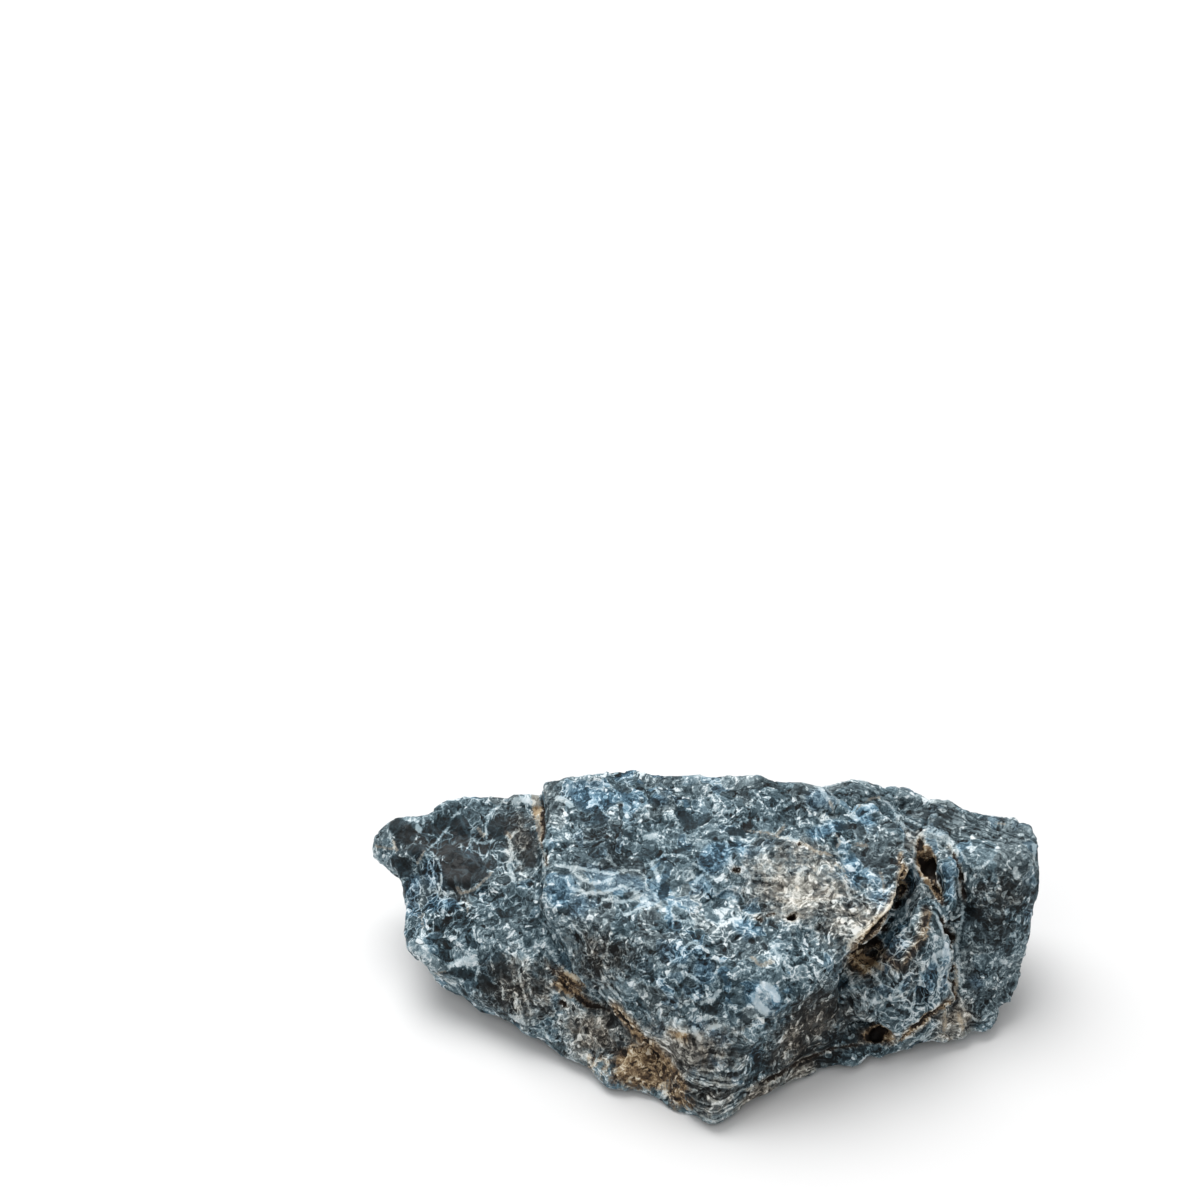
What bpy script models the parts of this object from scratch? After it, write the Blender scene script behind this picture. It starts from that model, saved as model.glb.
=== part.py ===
# Rough apatite: one broken lump of blue-grey apatite rock, lying on the flat spot of its underside.
# The lump is made of overlapping blocks, each the convex hull of its own corners. They are joined,
# weathered as one skin, opened along the cracks, and trimmed flat where the lump rests.
# Corners, paths and widths are in millimetres: X along the lump, -Y towards the nose, Z up.

import bmesh
import bpy
import numpy as np
from mathutils import Vector, noise

MM = 0.001

# Driving dimensions
SKIN_STEP = 0.45  # spacing of the points on the skin while it is weathered
TRIANGLES = 8800  # of the finished solid
SEED = 23
NORMAL_ROUNDS = 4  # of evening out the skin's directions
SWELL = 0.4  # makes up for what the weathering takes off
LUMPS = (  # width and height of the rounded unevenness
    {"width": 8.0, "height": 0.4},
    {"width": 3.2, "height": 0.2},
)
FLAKES = (  # shallow scars that chips of rock have left: how many, their radius, depth and slant
    {"count": 170, "radius": 4.4, "depth": 0.52, "slant": 0.1},
    {"count": 760, "radius": 2.1, "depth": 0.3, "slant": 0.1},
)
UNSCARRED = (  # middle and radius of the places where the scars fade out
    ((0.6, -12.0, 2.0), 7.0),
    ((-30.0, 13.4, 9.6), 4.0),
    ((19.0, -1.0, 9.0), 9.0),
    ((27.0, 3.0, 11.0), 9.0),
)
SCAR_FACING = (0.45, 0.85)  # agreement of the skin's directions at which a scar is gone, and whole
SCAR_REACH = 2.0  # radii, past which a scar takes nothing off
SCAR_LEAST = 0.15  # share of a scar's depth that is left in the middle of an unscarred place
LEDGE_PITCH = 2.4  # between the bedding ledges on the steep sides
LEDGE_DEPTH = 0.3
LEDGE_LIP = 0.16  # share of the pitch in which a ledge drops back
LEDGE_WAVE = {"width": 7.0, "height": 0.9}  # how the layers undulate
LEDGE_PATCH = {"width": 8.0, "base": 0.35, "gain": 1.6}  # where the ledges are strong or absent
LEDGE_ONSET = 0.7  # below 1, ledges start on gentler slopes
CRACK_TAPER = 0.18  # share of a crack's length over which each end closes
CRACK_LEAST = 0.15  # share of the depth at the very end of a crack
CRACK_WANDER = {"width": 2.2, "height": 0.35}  # how a crack strays from its path
SHARP_ANGLE = 0.5  # radians between two faces that meet in a visible edge
GROUND = 100.0  # side of the block that trims the underside flat at height 0
BEDDING = Vector((0.05, 0.12, 1.0)).normalized()  # across the layers of the rock

# The tall middle block: a broad top that slopes to the lip and to the brow over the nose
CORE = {
    "back_left": (-14.5, 13.3, 17.4),
    "back_middle": (-8.6, 13.6, 18.5),
    "back_right": (4.1, 12.9, 18.2),
    "back_step": (7.7, 12.7, 17.9),
    "crest_middle": (11.2, 9.8, 17.6),
    "crest": (15.8, 10.3, 17.2),
    "crest_end": (18.7, 6.5, 16.6),
    "lip_right": (18.1, 3.6, 16.2),
    "lip_corner": (16.8, -0.6, 15.1),
    "lip_front": (12.1, -5.1, 14.0),
    "lip_left": (7.7, -6.9, 13.2),
    "ridge_left": (-14.4, 0.1, 15.2),
    "ridge_middle": (-8.5, -2.8, 14.9),
    "ridge_right": (-0.7, -5.4, 14.4),
    "ridge_far": (5.4, -7.5, 13.3),
    "brow": (6.4, -9.1, 11.0),
    "arris_left": (-12.4, -3.2, 9.4),
    "arris_middle": (-7.6, -6.4, 9.0),
    "arris_right": (-3.2, -9.2, 8.8),
    "prow": (0.6, -11.2, 8.4),
    "nose": (3.6, -10.9, 8.0),
    "nose_low": (1.7, -12.3, 3.8),
    "nose_tip": (0.6, -13.0, 0.6),
    "foot_left": (5.8, -9.4, 0.9),
    "foot_right": (11.6, -6.4, 0.9),
    "left_back": (-15.3, 14.6, 14.4),
    "left_foot": (-15.4, 3.4, 11.4),
    "back_belly_left": (-11.0, 16.0, 7.5),
    "back_belly_right": (8.0, 15.8, 8.5),
    "under_left": (-9.0, 0.0, -1.3),
    "under_nose": (-1.5, -7.0, -1.3),
    "under_right": (9.5, -3.5, -1.3),
    "under_back_right": (11.0, 8.0, -1.3),
    "under_back_left": (-8.0, 9.0, -1.3),
}

# The hollow under the lip, cut out before the knob is set into it
UNDERCUT = {
    "edge_left": (11.9, -6.6, 12.4),
    "edge_corner": (17.6, -1.9, 13.6),
    "edge_right": (20.2, 3.0, 14.6),
    "deep_left": (11.2, -2.9, 11.2),
    "deep_corner": (14.4, 0.6, 12.0),
    "deep_right": (16.6, 3.6, 13.0),
    "low_left": (12.6, -7.0, 6.0),
    "low_corner": (18.4, -3.0, 6.0),
    "low_deep_left": (12.0, -3.2, 6.5),
    "low_deep_corner": (15.0, 0.0, 6.5),
    "low_right": (21.0, 2.6, 9.0),
}

# The low wing that runs back to the pointed left end, with the foot under the long groove
WING = {
    "tip_top": (-29.0, 13.5, 11.1),
    "top_left": (-23.6, 15.3, 13.0),
    "top_right": (-15.5, 14.8, 14.2),
    "tip_front": (-28.0, 10.0, 9.7),
    "notch_left": (-23.9, 6.3, 10.2),
    "notch_right": (-18.4, 5.4, 10.8),
    "shoulder": (-16.1, 1.9, 10.4),
    "left_middle": (-27.5, 6.8, 8.0),
    "left_edge": (-27.6, 4.2, 6.2),
    "middle_edge": (-25.2, 1.2, 5.8),
    "low_edge": (-18.4, -1.0, 6.2),
    "left_toe": (-26.4, 4.4, 2.6),
    "toe": (-22.8, 1.5, 1.6),
    "foot_left": (-17.8, -1.0, 1.0),
    "foot": (-13.3, -4.9, 0.7),
    "foot_right": (-6.8, -9.3, 0.7),
    "nose_under": (0.0, -12.0, 0.5),
    "groove_high": (-14.3, -0.9, 9.0),
    "groove_middle": (-9.8, -4.3, 6.4),
    "groove_low": (-5.8, -6.4, 4.8),
    "groove_end": (-2.7, -9.0, 3.0),
    "under_left": (-19.0, 4.0, 0.9),
    "under_middle": (-9.0, 0.0, -1.2),
    "under_nose": (-2.0, -7.0, -1.2),
    "under_back": (-20.0, 11.0, 1.6),
    "back_low": (-24.5, 15.4, 5.0),
    "back_middle": (-16.0, 16.4, 7.0),
    "inside": (0.0, 10.0, 4.0),
    "inside_low": (-6.0, 8.0, -1.2),
}

# The beak at the far left end
BEAK = {
    "point": (-30.7, 12.9, 8.9),
    "top": (-29.8, 13.4, 10.8),
    "top_right": (-23.6, 15.3, 12.8),
    "under": (-28.6, 11.9, 6.4),
    "front": (-26.8, 9.2, 8.8),
    "root": (-20.0, 12.0, 5.0),
    "back": (-27.0, 16.2, 8.6),
}

# The block at the right end, with the steep dark front
RIGHT_BLOCK = {
    "back_far_left": (8.0, 14.8, 15.6),
    "back_left": (15.0, 14.6, 15.8),
    "back_middle": (19.4, 13.4, 15.8),
    "back_right": (23.5, 11.5, 15.6),
    "far_back": (28.8, 10.8, 15.9),
    "far_corner": (30.4, 8.8, 15.6),
    "far_front": (30.5, 7.2, 14.2),
    "front_left": (23.3, 4.6, 14.7),
    "front_middle": (26.3, 4.6, 14.9),
    "front_right": (29.6, 5.5, 14.6),
    "edge_high": (30.4, 5.2, 11.6),
    "edge_middle": (29.6, 2.8, 6.6),
    "edge_low": (28.7, 0.1, 2.7),
    "toe_right": (26.1, -2.2, 1.3),
    "toe_left": (23.0, -2.8, 0.9),
    "front_low": (23.1, -1.5, 4.0),
    "bulge": (25.6, 1.3, 9.6),
    "under_front": (19.0, 1.0, -0.2),
    "under_right": (25.0, 5.0, 1.2),
    "back_low": (25.5, 12.4, 4.0),
    "back_foot": (16.0, 13.0, 1.5),
    "inside_back": (8.0, 12.0, 3.0),
    "inside_low": (10.0, 5.0, -0.6),
    "inside_top": (8.0, 10.0, 14.0),
}

# The rough knob set under the lip, between the middle block and the right one
KNOB = {
    "top": (19.5, 2.7, 13.6),
    "top_left": (17.6, 1.6, 12.6),
    "left_high": (15.9, -0.2, 11.6),
    "left": (14.8, -1.7, 10.4),
    "left_low": (13.9, -2.8, 9.0),
    "front": (17.5, -3.4, 11.3),
    "front_low": (17.0, -4.7, 8.4),
    "low_left": (15.6, -4.2, 5.6),
    "low": (17.9, -4.5, 3.6),
    "right_high": (20.9, 1.7, 12.8),
    "right": (22.0, -0.3, 9.8),
    "right_low": (22.0, -1.7, 6.8),
    "right_toe": (23.6, -1.9, 4.4),
    "toe": (17.3, -4.3, 1.6),
    "toe_middle": (21.0, -3.9, 1.0),
    "toe_right": (23.6, -3.1, 1.2),
    "inside_low": (14.0, 6.0, 0.6),
    "inside_right": (24.0, 5.0, 0.9),
    "inside_high": (20.0, 6.0, 13.5),
}

# The small lobe at the knob's lower left, and the toe below it
LOBE = {
    "top": (13.6, -2.9, 9.2),
    "left": (12.4, -3.4, 8.3),
    "front": (14.0, -4.9, 7.6),
    "low": (13.6, -4.9, 5.0),
    "right": (16.0, -4.0, 6.6),
    "right_low": (16.2, -4.4, 4.6),
    "inside": (14.0, 3.0, 6.0),
    "inside_low": (14.0, 1.0, 2.6),
}
TOE = {
    "top": (13.2, -5.6, 3.4),
    "left": (11.2, -6.8, 1.2),
    "front": (13.6, -6.4, 0.9),
    "right": (19.0, -4.3, 0.9),
    "right_top": (18.4, -4.0, 2.4),
    "inside": (14.0, 2.0, 3.0),
    "under": (13.0, 0.0, 0.0),
    "inside_right": (19.0, 2.0, 0.6),
}

# The rounded blue chip between the iron-stained pocket and the long crack
CHIP = {
    "top": (21.9, 6.0, 15.1),
    "left_high": (20.9, 4.9, 14.6),
    "right_high": (22.6, 4.4, 14.8),
    "left": (20.8, 2.9, 13.1),
    "right": (22.8, 2.2, 13.2),
    "low_left": (21.5, 1.6, 11.2),
    "low_right": (22.8, 1.2, 11.7),
    "inside": (21.0, 7.0, 11.0),
}

BLOCKS = {
    "wing": WING,
    "beak": BEAK,
    "right_block": RIGHT_BLOCK,
    "knob": KNOB,
    "lobe": LOBE,
    "toe": TOE,
    "chip": CHIP,
}

# Open cracks, grooves and hollows: a path on the skin, how wide it is open and how deep it goes
CRACKS = {
    "wing_crease": {
        "path": ((-15.4, 15.2, 14.4), (-14.9, 9.3, 14.4), (-14.9, 5.8, 13.4), (-15.6, 3.4, 11.4)),
        "width": 1.3, "depth": 0.6,
    },
    "wing_notch": {
        "path": ((-24.6, 6.2, 10.0), (-21.2, 6.0, 10.5), (-18.2, 5.2, 10.7)),
        "width": 1.3, "depth": 0.7,
    },
    "long_groove": {
        "path": ((-16.6, 1.4, 10.2), (-15.6, 0.2, 9.6), (-13.7, -1.4, 8.4), (-11.9, -2.7, 7.6),
                 (-9.8, -4.0, 6.6), (-8.2, -4.5, 6.2), (-5.8, -6.0, 5.0), (-2.7, -8.6, 3.4),
                 (-1.1, -10.4, 2.4)),
        "width": 1.8, "depth": 1.3,
    },
    "top_valley": {
        "path": ((-13.6, 7.8, 16.8), (-8.0, 6.4, 17.2), (-4.0, 7.2, 17.4)),
        "width": 3.4, "depth": 0.55,
    },
    "lip_crevice": {
        "path": ((18.6, 3.4, 14.4), (16.4, 0.6, 12.4), (14.2, -1.6, 11.0), (12.8, -3.4, 10.4),
                 (12.4, -4.6, 8.4)),
        "width": 1.7, "depth": 1.2,
    },
    "pocket": {
        "path": ((19.3, 7.4, 15.2), (19.8, 5.2, 14.4), (20.2, 3.8, 13.4), (20.9, 2.6, 12.4)),
        "width": 1.5, "depth": 1.8,
    },
    "long_crack": {
        "path": ((22.7, 7.0, 15.6), (23.1, 4.6, 14.6), (23.2, 3.0, 12.4), (22.8, 1.2, 10.6),
                 (22.6, 0.2, 8.8), (22.8, -1.2, 6.2), (22.7, -2.2, 4.4)),
        "width": 1.2, "depth": 1.3,
    },
    "knob_hole": {
        "path": ((14.6, -4.9, 3.4), (15.6, -4.7, 3.1), (16.8, -4.5, 2.8)),
        "width": 1.0, "depth": 1.3,
    },
    "back_cleft": {
        "path": ((-15.5, 16.2, 11.0), (-12.6, 16.2, 7.2), (-9.5, 14.6, 3.0)),
        "width": 2.4, "depth": 1.0,
    },
    "back_split": {
        "path": ((9.0, 15.0, 15.0), (10.6, 15.4, 10.6), (13.0, 14.6, 6.0), (14.4, 12.8, 2.0)),
        "width": 1.8, "depth": 1.1,
    },
}

# Rock, from the photo: blue-grey with a dull broken surface
COLOUR = (0.115, 0.175, 0.215, 1.0)
ROUGHNESS = 0.72


def clear_scene():
    for old in list(bpy.data.objects):
        bpy.data.objects.remove(old)


def collection(name):
    made = bpy.data.collections.new(name)
    bpy.context.scene.collection.children.link(made)
    return made


def hull(name, corners, home):
    # A block is the convex hull of its corners.
    bm = bmesh.new()
    for corner in corners.values():
        bm.verts.new(Vector(corner) * MM)
    made = bmesh.ops.convex_hull(bm, input=bm.verts)
    loose = {v for v in made["geom_interior"] + made["geom_unused"] if isinstance(v, bmesh.types.BMVert)}
    bmesh.ops.delete(bm, geom=list(loose), context="VERTS")
    mesh = bpy.data.meshes.new(name)
    bm.to_mesh(mesh)
    bm.free()
    block = bpy.data.objects.new(name, mesh)
    home.objects.link(block)
    return block


def helper(name, corners, home):
    block = hull(name, corners, home)
    block.hide_render = True
    block.display_type = "WIRE"
    return block


def boolean(body, tool, operation):
    step = body.modifiers.new(tool.name, "BOOLEAN")
    step.operation = operation
    step.object = tool


def apply_modifiers(body):
    # The modifiers' result becomes the object's own mesh.
    evaluated = body.evaluated_get(bpy.context.evaluated_depsgraph_get())
    mesh = bpy.data.meshes.new_from_object(evaluated)
    body.modifiers.clear()
    body.data = mesh


def skin_arrays(mesh):
    # Places and outward directions of the skin's points, in millimetres. The directions are evened
    # out between neighbours, so that moving points along them leaves no spikes on sharp edges.
    count = len(mesh.vertices)
    points = np.empty(count * 3, np.float32)
    normals = np.empty(count * 3, np.float32)
    ends = np.empty(len(mesh.edges) * 2, np.int32)
    mesh.vertices.foreach_get("co", points)
    mesh.vertices.foreach_get("normal", normals)
    mesh.edges.foreach_get("vertices", ends)
    points = points.reshape(-1, 3).astype(float) / MM
    normals = normals.reshape(-1, 3).astype(float)
    first, second = ends[0::2], ends[1::2]
    for _ in range(NORMAL_ROUNDS):
        total = normals.copy()
        np.add.at(total, first, normals[second])
        np.add.at(total, second, normals[first])
        normals = total / np.linalg.norm(total, axis=1)[:, None]
    return points, normals


def set_skin(mesh, points):
    mesh.vertices.foreach_set("co", (points * MM).astype(np.float32).ravel())
    mesh.update()


def lump_field(points, width, seed):
    # Smooth noise between -1 and 1 that changes over the given width
    shift = Vector((seed * 7.3, seed * 3.1, seed * 5.7))
    return np.array([noise.noise(Vector(p) / width + shift) for p in points])


def add_lumps(points, normals):
    for number, lump in enumerate(LUMPS):
        field = lump_field(points, lump["width"], SEED + number)
        points = points + normals * (field * lump["height"])[:, None]
    return points


def add_flakes(points, normals, flake, random):
    # Each scar is a slanted shallow bowl round its own point, and the deepest scar wins, so that
    # sharp arrises are left where two of them meet. A scar fades out where the skin turns away.
    chosen = random.choice(len(points), flake["count"], replace=False)
    slants = random.normal(0.0, flake["slant"], (flake["count"], 3))
    sizes = random.uniform(0.6, 1.3, flake["count"])
    depth = np.zeros(len(points))
    gone, whole = SCAR_FACING
    for place, facing, slant, size in zip(points[chosen], normals[chosen], slants, sizes):
        offset = points - place
        away = (offset * offset).sum(axis=1) / (flake["radius"] * size) ** 2
        fade = ((normals @ facing - gone) / (whole - gone)).clip(0.0, 1.0) * (away < SCAR_REACH ** 2)
        bowl = flake["depth"] * size * (away - 1.0) + offset @ slant
        depth = np.minimum(depth, bowl * fade)
    for place, radius in UNSCARRED:
        away = np.linalg.norm(points - np.array(place), axis=1)
        depth *= (away / radius).clip(SCAR_LEAST, 1.0)
    return points + normals * depth.clip(-2.0 * flake["depth"], 0.0)[:, None]


def add_ledges(points, normals):
    # Steep sides step back layer by layer: each layer stands proud at its foot.
    bedding = np.array(BEDDING)
    wave = lump_field(points, LEDGE_WAVE["width"], SEED + 5) * LEDGE_WAVE["height"]
    layer = (points @ bedding + wave) / LEDGE_PITCH
    share = layer - np.floor(layer)
    step = np.minimum(1.0 - share, share / LEDGE_LIP).clip(0.0, 1.0)
    steep = (1.0 - np.abs(normals @ bedding)).clip(0.0, 1.0) ** LEDGE_ONSET
    patch = lump_field(points, LEDGE_PATCH["width"], SEED + 9)
    strength = (LEDGE_PATCH["base"] + LEDGE_PATCH["gain"] * patch).clip(0.0, 1.0)
    return points + normals * (step * steep * strength * LEDGE_DEPTH + SWELL)[:, None]


def along_path(points, path):
    # Shortest distance from each point to the joined-up line of the path, and how far along that is
    lengths = [np.linalg.norm(np.subtract(end, start)) for start, end in zip(path, path[1:])]
    best = np.full(len(points), np.inf)
    share = np.zeros(len(points))
    done = 0.0
    for start, end, length in zip(path, path[1:], lengths):
        start = np.array(start)
        way = np.array(end) - start
        part = (((points - start) @ way) / (way @ way)).clip(0.0, 1.0)
        away = np.linalg.norm(points - start - part[:, None] * way, axis=1)
        nearer = away < best
        best = np.where(nearer, away, best)
        share = np.where(nearer, (done + part * length) / sum(lengths), share)
        done += length
    return best, share


def open_cracks(points, normals):
    # A crack pushes the skin in, most along its path, not at all beyond its width, less at its ends.
    wander = lump_field(points, CRACK_WANDER["width"], SEED + 13) * CRACK_WANDER["height"]
    inward = np.zeros(len(points))
    for crack in CRACKS.values():
        away, share = along_path(points, crack["path"])
        taper = (np.minimum(share, 1.0 - share) / CRACK_TAPER).clip(CRACK_LEAST, 1.0)
        width = crack["width"] * np.sqrt(taper)
        open_share = (1.0 - (away + wander) / width).clip(0.0, 1.0)
        profile = open_share * open_share * (3.0 - 2.0 * open_share)
        inward = np.maximum(inward, profile * crack["depth"] * taper)
    return points - normals * inward[:, None]


def weather(body):
    random = np.random.RandomState(SEED)
    mesh = body.data
    points, normals = skin_arrays(mesh)
    set_skin(mesh, add_lumps(points, normals))
    for flake in FLAKES:
        points, normals = skin_arrays(mesh)
        set_skin(mesh, add_flakes(points, normals, flake, random))
    points, normals = skin_arrays(mesh)
    set_skin(mesh, add_ledges(points, normals))
    points, normals = skin_arrays(mesh)
    set_skin(mesh, open_cracks(points, normals))


def ground_slab(home):
    bpy.ops.mesh.primitive_cube_add(size=1.0)
    slab = bpy.context.object
    slab.name = "ground"
    for corner in slab.data.vertices:
        corner.co = Vector((corner.co.x, corner.co.y, corner.co.z - 0.5)) * GROUND * MM
    slab.hide_render = True
    slab.display_type = "WIRE"
    for old_home in slab.users_collection:
        old_home.objects.unlink(slab)
    home.objects.link(slab)
    return slab


def centre(body):
    # The middle of the lump's footprint comes over the origin. Returns how far that moves it.
    points = np.empty(len(body.data.vertices) * 3, np.float32)
    body.data.vertices.foreach_get("co", points)
    points = points.reshape(-1, 3)
    middle = (points.max(axis=0) + points.min(axis=0)) / 2
    middle[2] = 0.0
    body.data.vertices.foreach_set("co", (points - middle).ravel())
    body.data.update()
    return Vector(-middle)


def apatite_rock():
    material = bpy.data.materials.new("apatite_rock")
    material.use_nodes = True
    surface = material.node_tree.nodes["Principled BSDF"]
    surface.inputs["Base Color"].default_value = COLOUR
    surface.inputs["Roughness"].default_value = ROUGHNESS
    surface.inputs["Metallic"].default_value = 0.0
    return material


def main():
    clear_scene()
    home = collection("rough_apatite")
    helpers = collection("blocks")
    stone = hull("stone", CORE, home)
    boolean(stone, helper("undercut", UNDERCUT, helpers), "DIFFERENCE")
    for name, corners in BLOCKS.items():
        boolean(stone, helper(name, corners, helpers), "UNION")
    skin = stone.modifiers.new("skin", "REMESH")
    skin.mode = "VOXEL"
    skin.voxel_size = SKIN_STEP * MM
    apply_modifiers(stone)
    weather(stone)
    thin = stone.modifiers.new("thin", "DECIMATE")
    thin.ratio = TRIANGLES / (2 * len(stone.data.polygons))
    boolean(stone, ground_slab(helpers), "DIFFERENCE")
    apply_modifiers(stone)
    moved = centre(stone)
    for block in helpers.objects:
        block.location = moved
    stone.data.materials.clear()
    stone.data.materials.append(apatite_rock())
    stone.data.shade_smooth()
    stone.data.set_sharp_from_angle(angle=SHARP_ANGLE)


main()
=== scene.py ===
from itertools import product
from math import cos, radians, sin

import bmesh
import bpy
import numpy as np
from mathutils.bvhtree import BVHTree
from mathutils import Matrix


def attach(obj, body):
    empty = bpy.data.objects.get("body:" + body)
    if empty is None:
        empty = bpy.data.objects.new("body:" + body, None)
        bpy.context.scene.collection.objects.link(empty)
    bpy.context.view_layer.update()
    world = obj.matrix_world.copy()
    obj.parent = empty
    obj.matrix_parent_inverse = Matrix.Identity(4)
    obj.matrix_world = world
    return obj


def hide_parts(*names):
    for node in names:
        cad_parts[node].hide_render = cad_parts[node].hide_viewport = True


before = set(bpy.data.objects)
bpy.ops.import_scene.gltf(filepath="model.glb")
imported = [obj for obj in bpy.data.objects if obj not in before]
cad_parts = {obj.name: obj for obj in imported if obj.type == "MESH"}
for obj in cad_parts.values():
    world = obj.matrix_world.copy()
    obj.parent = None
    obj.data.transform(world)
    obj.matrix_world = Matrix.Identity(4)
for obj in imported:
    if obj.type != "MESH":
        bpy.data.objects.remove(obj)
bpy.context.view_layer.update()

# Rough apatite: one broken lump of blue-grey rock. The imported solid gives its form, and this script gives it
# the fine broken skin and the look of the rock. Places and sizes are in millimetres, as in the frame:
# +X towards the steep block, -Y towards the nose, +Z up.
mm = 0.001
print("frame: loaded", sorted(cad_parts))

# The camera. Veins, cracks and single grains are placed on the rock by their pixels in its picture.
photo = {
    "eye": (-9.443, -213.257, 220.854),
    "tilt": 51.0,  # degrees up from straight down
    "lens": 100.0,
    "sensor": 36.0,
    "pixels": 1200,  # width and height of the picture
    "step": 5,  # pixels between the points of a line that is laid on the rock
}

skin = {
    "pitch": 0.25,  # between the points of the skin, which keeps it under 200,000 triangles
    "evenRounds": 5,  # rounds that take the solid's own facets off
    "restLevel": 0.25,  # below this height the rough skin gives way to the flat resting spot
    "holeLength": 1.2,  # a shorter crack is a round hole, and a longer one draws in at its ends
    "markReach": 1.0,  # how far from a vein, grain or crack its distance is kept
    "lumps": (  # width and height of rounded unevenness
        (5.2, 0.12),
        (2.3, 0.07),
        (1.0, 0.05),
        (0.55, 0.04),
    ),
    "chips": (  # width, height and slant of broken facets
        (3.4, 0.10, 0.12),
        (1.7, 0.07, 0.12),
        (0.85, 0.06, 0.12),
    ),
    "jags": (2.2, 0.45, 0.50),  # the same of the coarse facets where the rock is jagged
    "seam": 0.03,  # how deep the joint between two chips is cut
    "bedPitch": 0.85,  # between the thin layers where the rock is layered
    "bedDepth": 0.24,
    "pitSpacing": 2.6,  # between places that may hold a small pit
    "pitShare": 0.2,  # of those places that do
    "pitRadius": 0.25,
    "pitDepth": 0.2,
}

# Where the skin stands further out than the solid's broad planes: middle, reach and height
swells = (
    ((9.5, 10.6, 17.4), (5.0, 2.2, 3.0), 1.1),
    ((15.6, 12.2, 15.6), (3.6, 2.4, 2.6), 1.1),
    ((-28.2, 13.2, 10.6), (2.4, 2.0, 2.4), 0.8),
    ((-22.4, 14.0, 13.0), (2.4, 2.0, 2.0), 0.7),
    ((-8.0, 14.0, 18.0), (6.0, 2.0, 2.0), 0.5),
    ((26.0, 12.4, 15.4), (3.4, 2.4, 2.0), 0.7),
    ((-25.0, 1.6, 6.6), (1.8, 1.8, 2.0), 0.5),
    ((-9.0, -9.4, 1.6), (4.0, 1.6, 1.6), 0.5),
    ((30.4, 4.0, 10.0), (1.6, 4.0, 4.0), -0.45),
)

bedding = np.array((0.05, 0.12, 1.0)) / np.linalg.norm((0.05, 0.12, 1.0))

# Open cracks and holes: half the width, the depth, and the pixels that each runs through
cracks = {
    "wingCrease": (0.16, 0.25, (541, 792), (543, 815), (542, 840), (546, 865)),
    "longGroove": (0.10, 0.22, (545, 960), (556, 976), (571, 991), (586, 1003), (603, 1008), (618, 1015), (630, 1028),
                   (641, 1040), (652, 1050), (663, 1060), (675, 1074), (684, 1084)),
    "grooveMouth": (0.24, 0.40, (612, 1008), (622, 1020), (632, 1029)),
    "lipSlit": (0.30, 0.80, (905, 868), (902, 880), (901, 892)),
    "lipGap": (0.24, 0.70, (901, 892), (894, 908), (885, 919), (874, 930), (862, 942), (854, 953)),
    "gapMouth": (0.60, 0.80, (884, 927), (872, 938), (862, 948)),
    "pocketTop": (0.26, 0.60, (920, 840), (921, 850)),
    "pocket": (0.62, 1.00, (922, 861), (928, 867), (932, 877)),
    "pocketTail": (0.18, 0.40, (931, 882), (937, 892), (943, 904)),
    "longCrack": (0.13, 0.50, (949, 846), (956, 857), (960, 871), (962, 885), (965, 902)),
    "knobGap": (0.42, 0.90, (944, 920), (949, 932), (953, 946)),
    "knobSeam": (0.20, 0.45, (953, 960), (951, 975), (955, 990), (959, 1000)),
    "knobFoot": (0.18, 0.35, (953, 1003), (940, 1009), (926, 1017), (912, 1028), (901, 1040)),
    "toeHole": (0.62, 0.90, (868, 1038), (877, 1035), (886, 1032)),
    "noseSeam": (0.12, 0.25, (745, 1090), (772, 1078), (800, 1062), (830, 1050), (858, 1044)),
    "pinHole": (0.32, 1.20, (789, 917), (793, 917)),
    "smallPit": (0.14, 0.30, (769, 916), (774, 914)),
    "smallPitLeft": (0.16, 0.30, (757, 919), (761, 921)),
    "grooveHole": (0.22, 0.60, (562, 1003), (565, 1006)),
    "grooveHoleRight": (0.30, 0.60, (609, 1008), (612, 1010)),
    "creamPit": (0.14, 0.30, (800, 845)),
    "darkPit": (0.22, 0.35, (734, 869), (738, 870)),
}

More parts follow.
